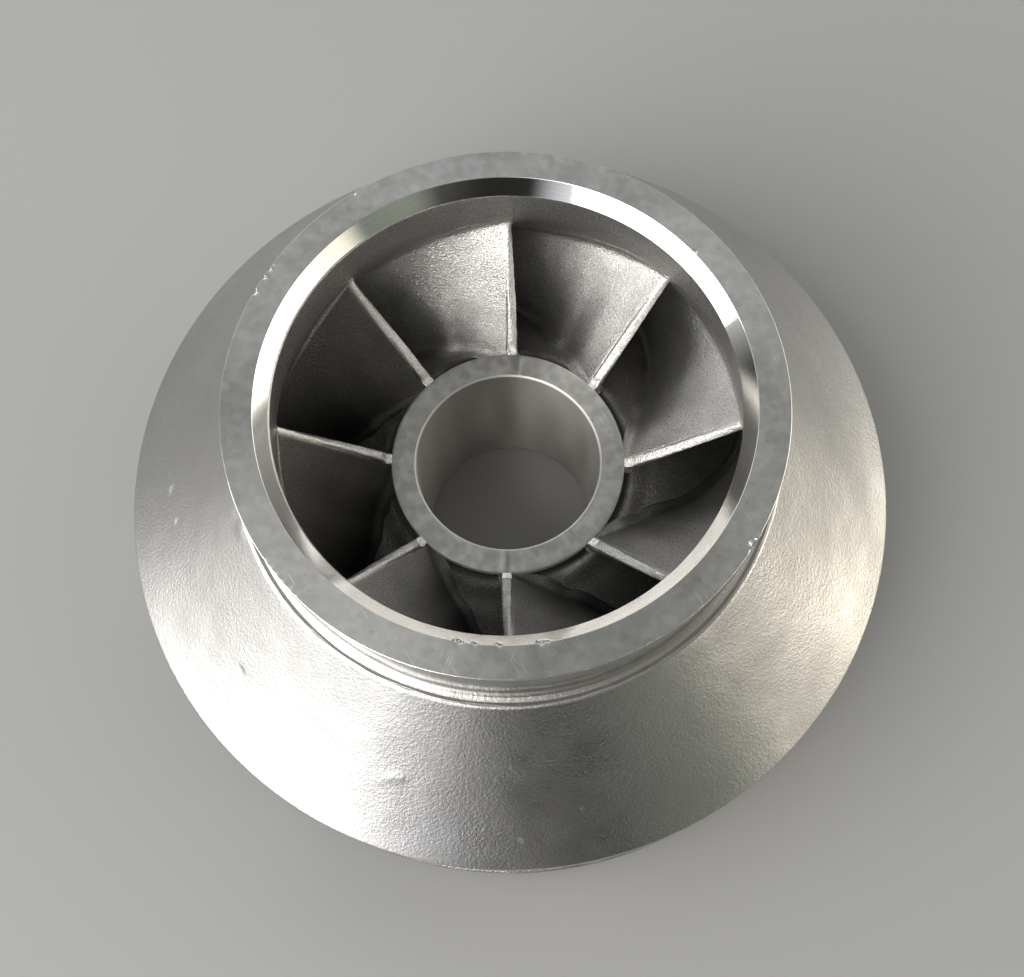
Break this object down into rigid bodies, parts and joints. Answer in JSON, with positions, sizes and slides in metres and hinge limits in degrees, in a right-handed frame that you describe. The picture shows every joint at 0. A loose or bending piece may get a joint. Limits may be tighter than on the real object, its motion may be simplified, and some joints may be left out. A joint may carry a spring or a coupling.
{
  "type": "pump impeller",
  "caption": "Closed mixed-flow pump impeller: conical front shroud, machined eye ring, backward-swept vanes, back shroud and a hub with a plain shaft bore.",
  "frame": {"origin": "on the shaft axis, in the plane of the hub's lower face, on which the part stands", "axes": "+Z along the shaft axis towards the suction eye; +X to the right of the picture, 3 degrees from the leading edge of vane_1; the vanes count counter-clockwise seen from +Z"},
  "size_m": [0.212, 0.212, 0.1002],
  "materials": {
    "cast_steel": "blasted stainless casting, fine orange-peel grain",
    "machined_steel": "lathe-turned stainless steel with light scratches"
  },
  "bodies": {
    "root": {"hub": "machined_steel", "back_shroud": "cast_steel", "front_shroud": "cast_steel", "eye_ring": "machined_steel", "vane_1": "cast_steel", "vane_2": "cast_steel", "vane_3": "cast_steel", "vane_4": "cast_steel", "vane_5": "cast_steel", "vane_6": "cast_steel", "vane_7": "cast_steel", "vane_8": "cast_steel"}
  },
  "joints": []
}
